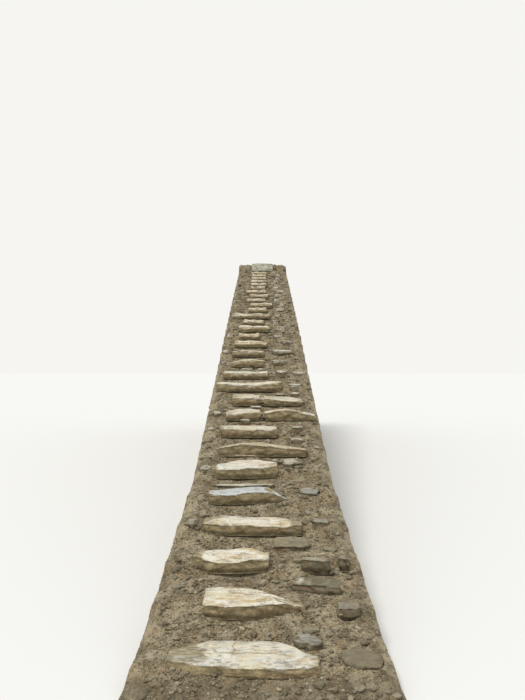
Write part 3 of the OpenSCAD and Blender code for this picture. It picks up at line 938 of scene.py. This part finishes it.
class STEPS_OT_earth(StepsOperator, bpy.types.Operator):
    """Packs earth round the stones"""
    bl_idname = "steps.earth"
    bl_label = "Packed earth"

    def execute(self, context):
        s = context.scene.steps_earth
        flight = Flight(context.scene.steps_walls)
        stones = stones_tree()
        material = earth_material(s)
        for bay in range(N_BAYS):
            y0, y1 = flight.cuts[bay] + (TOE if bay == 0 else 0.0), flight.cuts[bay + 1]
            step = step_of(bay, s.near_step, s.far_step)
            # Each bay but the last runs a little way in under the next
            tuck = 2 * step if bay < N_BAYS - 1 else 0.0
            nx, ny = round(2 * EARTH_HALF / step), round((y1 + tuck - y0) / step)
            bm = bmesh.new()
            bmesh.ops.create_grid(bm, x_segments=nx, y_segments=ny, size=0.5)
            dark_share, side, end = layers(bm, ("tone", "side", "end"))
            hits = np.zeros((nx + 1, ny + 1), bool)
            under = np.full((nx + 1, ny + 1), float(SKY))
            ys = [y0 + (y1 + tuck - y0) * j / ny for j in range(ny + 1)]
            levels = [flight.level(y) for y in ys]
            index = {}
            for v in bm.verts:
                i, j = round((v.co.x + 0.5) * nx), round((v.co.y + 0.5) * ny)
                index[v] = (i, j)
                half = EARTH_HALF + flight.flare(ys[j])
                v.co = Vector((-half + 2 * half * i / nx, ys[j], levels[j]))
                probe = stones.ray_cast(v.co - Vector((0, 0, PROBE)), -DOWN, 2 * PROBE)[0]
                if probe:
                    hits[i, j] = True
                    under[i, j] = probe.z
            # Only a point whose neighbours are under a stone too is pressed down
            inner = hits.copy()
            inner[1:-1, 1:-1] &= hits[:-2, 1:-1] & hits[2:, 1:-1] & hits[1:-1, :-2] & hits[1:-1, 2:]
            for v, (i, j) in index.items():
                x, y, z = v.co
                q = Vector((x, y, 3.0))
                lump = sum(share * noise.noise(q * rate) for rate, share in EARTH_LUMPS)
                z += s.lump * lump - s.hollow * (1 - min(1.0, abs(x) / 0.5) ** 2)
                half = EARTH_HALF + flight.flare(y)
                shoulder = half - SHOULDER - 0.03 * cloud(y * 4, x, 1)
                z = max(z - SIDE_DROP * smooth(shoulder, half, abs(x)), THIN)
                if y > y1 and tuck:
                    z -= 0.5 * (y - y1)
                if inner[i, j]:
                    z = min(z, under[i, j] - THIN)
                v.co.z = z
                # Darker in the hollows between the lumps and towards the front of the foot
                v[dark_share] = smooth(0.2, -0.8, lump) * 0.6 + 0.75 * smooth(-0.1, -0.25, y + 0.03 * lump)
                v[side] = (i == nx) - (i == 0)
                v[end] = (bay == N_BAYS - 1 and j == ny) - (bay == 0 and j == 0)
            self.close(bm, flight, dark_share, side, end)
            finish_piece(bm, f"earth_{bay + 1}", material, 60, [BEDS[bay]])
        return {"FINISHED"}

    def close(self, bm, flight, dark_share, side, end):
        """Carries the earth's rim over the top of the facing stones and down close behind them to the
        ground, and closes it. At the foot the rim runs out in an uneven toe."""
        for ring, inset in enumerate(RIM_INSETS):
            rim = [e for e in bm.edges if e.is_boundary]
            made = bmesh.ops.extrude_edge_only(bm, edges=rim)["geom"]
            for v in (g for g in made if isinstance(g, bmesh.types.BMVert)):
                x, y, z = v.co
                blot = cloud(x * 3 + y * 13, 0.7, 2.2)
                blot += 0.6 * cloud(x * 9 + y * 37, 4, 1)
                if v[end] < 0:
                    run_out = 0.5 + 0.8 * cloud(x * 9, 3, 1)
                    run_out += 0.5 * cloud(x * 31, 5, 1)
                    y -= TOE / len(RIM_INSETS) * min(1.0, max(0.0, run_out))
                    z *= TOE_HEIGHTS[ring]
                elif v[side] or v[end] > 0:
                    top = max(0.008, flight.sill(y))
                    if v[end] > 0:
                        top = flight.level(flight.end) - HEAD_COVER
                    lip, fold = top + 0.013 + 0.007 * blot, max(THIN, top - 0.03)
                    z = min(z - min(THIN, 0.2 * z), (lip, fold, 0.0)[ring])
                else:
                    z = (z - 0.03, z - 0.06, 0.0)[ring]
                if ring == 0:
                    back = inset + 0.006 * (1 + blot)
                else:
                    back = inset * smooth(0.02, 0.09, flight.sill(y))
                if v[end] > 0:
                    y = flight.end - back
                if v[side]:
                    x = v[side] * (flight.reach(y, z) - back)
                v.co = (x, y, z)
                v[dark_share] = 0.5
        bmesh.ops.holes_fill(bm, edges=[e for e in bm.edges if e.is_boundary])
        for layer in (side, end):
            bm.verts.layers.float.remove(layer)


class STEPS_OT_crumbs(StepsOperator, bpy.types.Operator):
    """Scatters crumbs of earth over the packed earth and the slabs' edges"""
    bl_idname = "steps.crumbs"
    bl_label = "Earth crumbs"

    def execute(self, context):
        s = context.scene.steps_earth
        material = bpy.data.materials["packed_earth_trodden"]
        flight = Flight(context.scene.steps_walls)
        stones = stones_tree()
        rng = random.Random(57)
        for bay in range(N_BAYS):
            ground = tree_of([bpy.data.objects[f"earth_{bay + 1}"]])
            bm = bmesh.new()
            layers(bm)
            y0, y1 = flight.cuts[bay] + 0.01, flight.cuts[bay + 1] - 0.01

            def spot():
                """A place on the earth, mostly towards its sides, or now and then low on a stone."""
                y = rng.uniform(y0, y1)
                share = rng.triangular(-0.96, 0.96, rng.choice((-0.7, 0.7)))
                x = share * (EARTH_HALF + flight.flare(y))
                hit, soil = top_at(stones, x, y), top_at(ground, x, y)
                if hit and soil and hit.z > soil.z:
                    return hit if hit.z < soil.z + 0.03 and rng.random() < 0.25 else None
                return soil

            scatter(bm, rng, round(s.crumbs / (1 + 0.9 * bay)), spot,
                    lambda: 0.003 + 0.008 * rng.random() ** 2 + 0.0015 * bay, False)
            scatter(bm, rng, round(0.12 * s.crumbs / (1 + 0.5 * bay)), spot,
                    lambda: 0.009 + 0.016 * rng.random() ** 2, True)
            finish_piece(bm, f"earth_crumbs_{bay + 1}", material, 20)
        return {"FINISHED"}


class STEPS_OT_rubble_walls(StepsOperator, bpy.types.Operator):
    """Lays the rubble facing of the sides and the head"""
    bl_idname = "steps.rubble_walls"
    bl_label = "Rubble walls"

    def execute(self, context):
        s = context.scene.steps_walls
        look = context.scene.steps_stones
        material = rubble_material("rubble_dry_laid", look.dark, look.rubble)
        flight = Flight(s)
        meshes = [bmesh.new() for _ in range(N_BAYS)]
        tones = [layers(bm)[0] for bm in meshes]
        rng = random.Random(5)
        scratch = bpy.data.meshes.new("one_stone")

        def take(stone, y):
            """Adds a stone to its bay's mesh, with a tone of its own."""
            bay = flight.bay_of(y)
            stone.to_mesh(scratch)
            stone.free()
            bm = meshes[bay]
            first = len(bm.verts)
            bm.from_mesh(scratch)
            bm.verts.ensure_lookup_table()
            tone = rng.random()
            for v in bm.verts[first:]:
                v[tones[bay]] = tone

        start, end = flight.foot + 0.004, flight.end - 0.002
        ground = ((0, 0, 0), (0, -1, 0))
        rise = (flight.sill(end) - flight.sill(start)) / (end - start)
        limits = [
            ground,
            ((start, 0, 0), (-1, 0, 0)),
            ((end, 0, 0), (1, 0, 0)),
            ((start, flight.sill(start), 0), Vector((-rise, 1, 0)).normalized()),
        ]
        for sign in (-1, 1):
            out = Vector((sign, -flight.spread, flight.lean)).normalized()
            rubble_face(s, rng, lambda y, z: Vector((sign * flight.reach(y, z), y, z)), out, start, end,
                        flight.sill, limits, take)
        half = flight.reach(flight.end, 0) - s.deep - 0.01
        head_top = flight.level(flight.end) - HEAD_COVER
        limits = [ground, ((0, head_top, 0), (0, 1, 0))]
        for sign in (-1, 1):
            limits.append(((sign * half, 0, 0), Vector((sign, flight.lean, 0)).normalized()))
        rubble_face(s, rng, lambda x, z: Vector((x, end - 0.004, z)), Vector((0, 1, 0)), -half, half,
                    lambda x: head_top, limits, lambda stone, x: take(stone, end))
        bpy.data.meshes.remove(scratch)
        for bay, bm in enumerate(meshes):
            finish_piece(bm, f"rubble_wall_{bay + 1}", material, 25)
        return {"FINISHED"}


class STEPS_OT_grit(StepsOperator, bpy.types.Operator):
    """Scatters small stones that stick out of the earth, and wedges the twin slabs"""
    bl_idname = "steps.grit"
    bl_label = "Small stones"

    def execute(self, context):
        s = context.scene.steps_walls
        look = context.scene.steps_stones
        material = rubble_material("broken_stone_loose", look.dark, look.rubble)
        flight = Flight(s)
        stones = stones_tree()
        rng = random.Random(31)
        for bay in range(N_BAYS):
            ground = tree_of([bpy.data.objects[f"earth_{bay + 1}"]])
            bm = bmesh.new()
            layers(bm)
            y0, y1 = flight.cuts[bay] + 0.01, flight.cuts[bay + 1] - 0.01

            def spot():
                """A place on the earth between the stones."""
                y = rng.uniform(y0, y1)
                x = rng.uniform(-0.96, 0.96) * (EARTH_HALF + flight.flare(y))
                return top_at(ground, x, y) if top_at(stones, x, y) is None else None

            def toe_spot():
                """A place along the edge of the foot."""
                y = flight.foot + rng.uniform(0.03, 0.09)
                return top_at(ground, rng.uniform(-0.97, 0.97) * flight.reach(y, 0), y)

            scatter(bm, rng, round(s.grit / (1 + 0.35 * bay)), spot,
                    lambda: 0.005 + 0.03 * rng.random() ** 3.5 + 0.003 * bay, True)
            if bay == 0:
                scatter(bm, rng, TOE_STONES, toe_spot,
                        lambda: 0.008 + 0.02 * rng.random() ** 2, True)
            for step, x in TWIN_JOINTS.items():
                if (step - 1) // STEPS_PER_BAY == bay:
                    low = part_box(TREADS[step - 1])[0]
                    places = iter([Vector((x, low.y + WEDGE_DEPTH, low.z + up)) for up in WEDGE_HEIGHTS])
                    scatter(bm, rng, len(WEDGE_HEIGHTS), lambda: next(places),
                            lambda: rng.uniform(0.026, 0.034), True)
            finish_piece(bm, f"small_stones_{bay + 1}", material, 25)
        return {"FINISHED"}


class STEPS_OT_stage(StepsOperator, bpy.types.Operator):
    """Sets the floor, the light and the camera"""
    bl_idname = "steps.stage"
    bl_label = "Stage"

    def execute(self, context):
        s = context.scene.steps_stage
        scene = context.scene
        bm = bmesh.new()
        bmesh.ops.create_grid(bm, x_segments=1, y_segments=1, size=90)
        mesh = bpy.data.meshes.new("floor")
        bm.to_mesh(mesh)
        bm.free()
        floor = new_object("floor", mesh)
        material, tree, shader = new_material("plain_floor_matt")
        shader.inputs["Base Color"].default_value = (*s.floor, 1)
        mesh.materials.append(material)
        floor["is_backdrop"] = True
        # The camera and reflections see the backdrop's colour, and the sky's light falls on the rest
        world = bpy.data.worlds.new("soft_sky")
        world.use_nodes = True
        tree = world.node_tree
        tree.nodes.clear()
        rays = add_node(tree, "LightPath").outputs
        seen = rays["Is Camera Ray"]
        for ray in ("Is Glossy Ray", "Is Transmission Ray"):
            seen = add_node(tree, "Math", {0: seen, 1: rays[ray]}, operation="MAXIMUM").outputs[0]
        lit = add_node(tree, "Background", {"Color": (0.93, 0.96, 1.0, 1), "Strength": s.sky})
        plain = add_node(tree, "Background", {"Color": (*s.backdrop, 1), "Strength": 1.0})
        mixed = add_node(tree, "MixShader", {0: seen, 1: lit.outputs[0], 2: plain.outputs[0]})
        add_node(tree, "OutputWorld", {"Surface": mixed.outputs[0]})
        scene.world = world
        lamp = bpy.data.lights.new("soft_sun", "SUN")
        lamp.energy = s.sun
        lamp.angle = s.sun_wide
        new_object("soft_sun", lamp).rotation_euler = (s.sun_lean, s.sun_turn, 0)
        camera = bpy.data.cameras.new("camera")
        camera.sensor_width = 36.0
        camera.lens = s.focal / FRAME_HIGH * camera.sensor_width
        eye = new_object("camera", camera)
        eye.location = (0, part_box(TREADS[0])[0].y - s.eye_back, s.eye_height)
        eye.rotation_euler = (math.radians(90) + s.eye_tilt, 0, 0)
        scene.camera = eye
        scene.view_settings.view_transform = "Standard"
        return {"FINISHED"}


class STEPS_PT_panel(bpy.types.Panel):
    """Lists the pieces of the flight"""
    bl_idname = "STEPS_PT_panel"
    bl_label = "Stone steps"
    bl_space_type = "VIEW_3D"
    bl_region_type = "UI"
    bl_category = "Stone steps"

    def draw(self, context):
        for operator in OPERATORS:
            self.layout.operator(operator.bl_idname)
        for group in GROUPS:
            box = self.layout.box()
            settings = getattr(context.scene, group)
            for key in GROUPS[group].__annotations__:
                box.prop(settings, key)


OPERATORS = (
    STEPS_OT_stage,
    STEPS_OT_slabs,
    STEPS_OT_packing_stones,
    STEPS_OT_head_block,
    STEPS_OT_earth,
    STEPS_OT_crumbs,
    STEPS_OT_rubble_walls,
    STEPS_OT_grit,
)
CLASSES = (*GROUPS.values(), *OPERATORS, STEPS_PT_panel)


def register():
    for item in CLASSES:
        bpy.utils.register_class(item)
    for name, group in GROUPS.items():
        setattr(bpy.types.Scene, name, bpy.props.PointerProperty(type=group))


def unregister():
    for name in GROUPS:
        delattr(bpy.types.Scene, name)
    for item in reversed(CLASSES):
        bpy.utils.unregister_class(item)


def main():
    register()
    bpy.ops.steps.stage()
    bpy.ops.steps.slabs()
    bpy.ops.steps.packing_stones()
    bpy.ops.steps.head_block()
    bpy.ops.steps.earth()
    bpy.ops.steps.crumbs()
    bpy.ops.steps.rubble_walls()
    bpy.ops.steps.grit()


if __name__ == "__main__":
    main()
